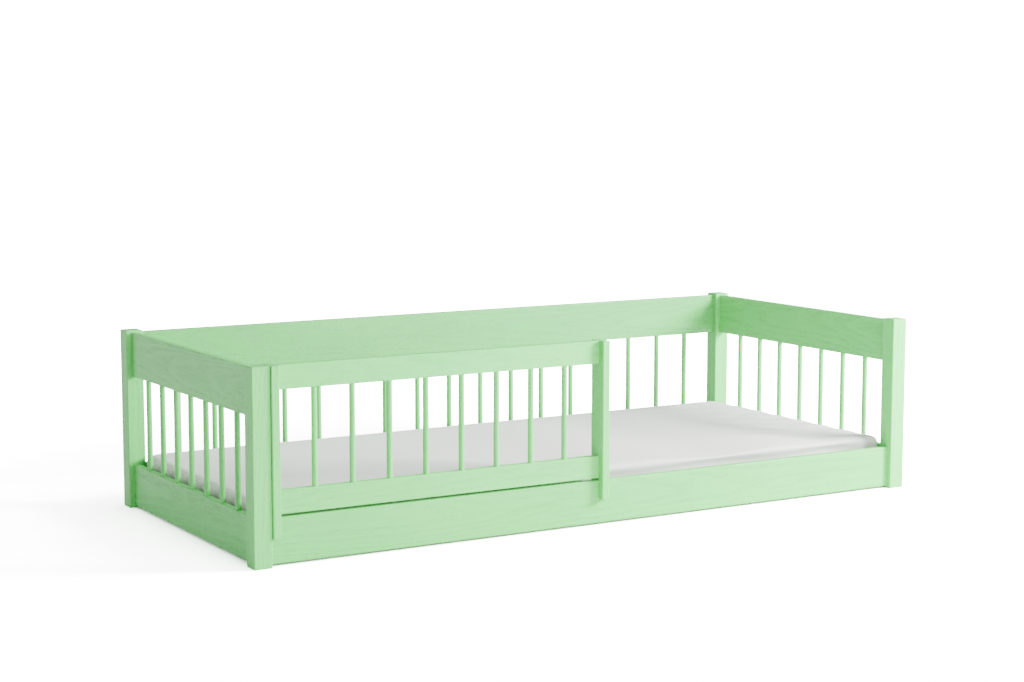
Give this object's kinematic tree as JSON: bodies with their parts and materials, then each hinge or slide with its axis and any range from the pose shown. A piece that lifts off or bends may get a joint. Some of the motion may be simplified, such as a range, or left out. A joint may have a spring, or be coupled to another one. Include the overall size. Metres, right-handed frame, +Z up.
{
  "type": "toddler floor bed",
  "caption": "Low wooden floor bed for a young child, with square posts, spindled ends and back, a lift-off guard on half of the open side, a slatted base and a mattress.",
  "frame": {"origin": "on the floor, under the middle of the bed's overall length and depth", "axes": "+X along the bed to the right as seen from the open front, +Y from the open front to the back, +Z up"},
  "size_m": [1.976, 0.8806, 0.478],
  "materials": {
    "stained_wood": "satin",
    "bare_wood": "matte",
    "mattress_cover": "matte",
    "webbing": "matte",
    "fitting_steel": "satin"
  },
  "bodies": {
    "bed_frame": {"back_ledger": "bare_wood", "back_left_post": "stained_wood", "back_low_rail": "stained_wood", "back_right_post": "stained_wood", "back_spindles": "stained_wood", "back_top_rail": "stained_wood", "catch_plates": "fitting_steel", "front_ledger": "bare_wood", "front_left_post": "stained_wood", "front_rail": "stained_wood", "front_right_post": "stained_wood", "hook_plates": "fitting_steel", "left_end_low_rail": "stained_wood", "left_end_spindle_1": "stained_wood", "left_end_spindle_2": "stained_wood", "left_end_spindle_3": "stained_wood", "left_end_spindle_4": "stained_wood", "left_end_spindle_5": "stained_wood", "left_end_spindle_6": "stained_wood", "left_end_spindle_7": "stained_wood", "left_end_top_rail": "stained_wood", "right_end_low_rail": "stained_wood", "right_end_spindle_1": "stained_wood", "right_end_spindle_2": "stained_wood", "right_end_spindle_3": "stained_wood", "right_end_spindle_4": "stained_wood", "right_end_spindle_5": "stained_wood", "right_end_spindle_6": "stained_wood", "right_end_spindle_7": "stained_wood", "right_end_top_rail": "stained_wood", "slat_1": "bare_wood", "slat_10": "bare_wood", "slat_11": "bare_wood", "slat_12": "bare_wood", "slat_13": "bare_wood", "slat_14": "bare_wood", "slat_2": "bare_wood", "slat_3": "bare_wood", "slat_4": "bare_wood", "slat_5": "bare_wood", "slat_6": "bare_wood", "slat_7": "bare_wood", "slat_8": "bare_wood", "slat_9": "bare_wood", "slat_webbing": "webbing"},
    "guard": {"guard_left_upright": "stained_wood", "guard_low_rail": "stained_wood", "guard_right_upright": "stained_wood", "guard_spindle_1": "stained_wood", "guard_spindle_2": "stained_wood", "guard_spindle_3": "stained_wood", "guard_spindle_4": "stained_wood", "guard_spindle_5": "stained_wood", "guard_spindle_6": "stained_wood", "guard_spindle_7": "stained_wood", "guard_spindle_8": "stained_wood", "guard_top_rail": "stained_wood"},
    "mattress": {"mattress": "mattress_cover"}
  },
  "joints": [
    {"name": "guard_lift", "type": "slide", "parent": "bed_frame", "child": "guard", "axis": [0, 0, 1], "range_m": [0, 0.42]},
    {"name": "mattress_lift", "type": "slide", "parent": "bed_frame", "child": "mattress", "axis": [0, 0, 1], "range_m": [0, 0.45]}
  ]
}
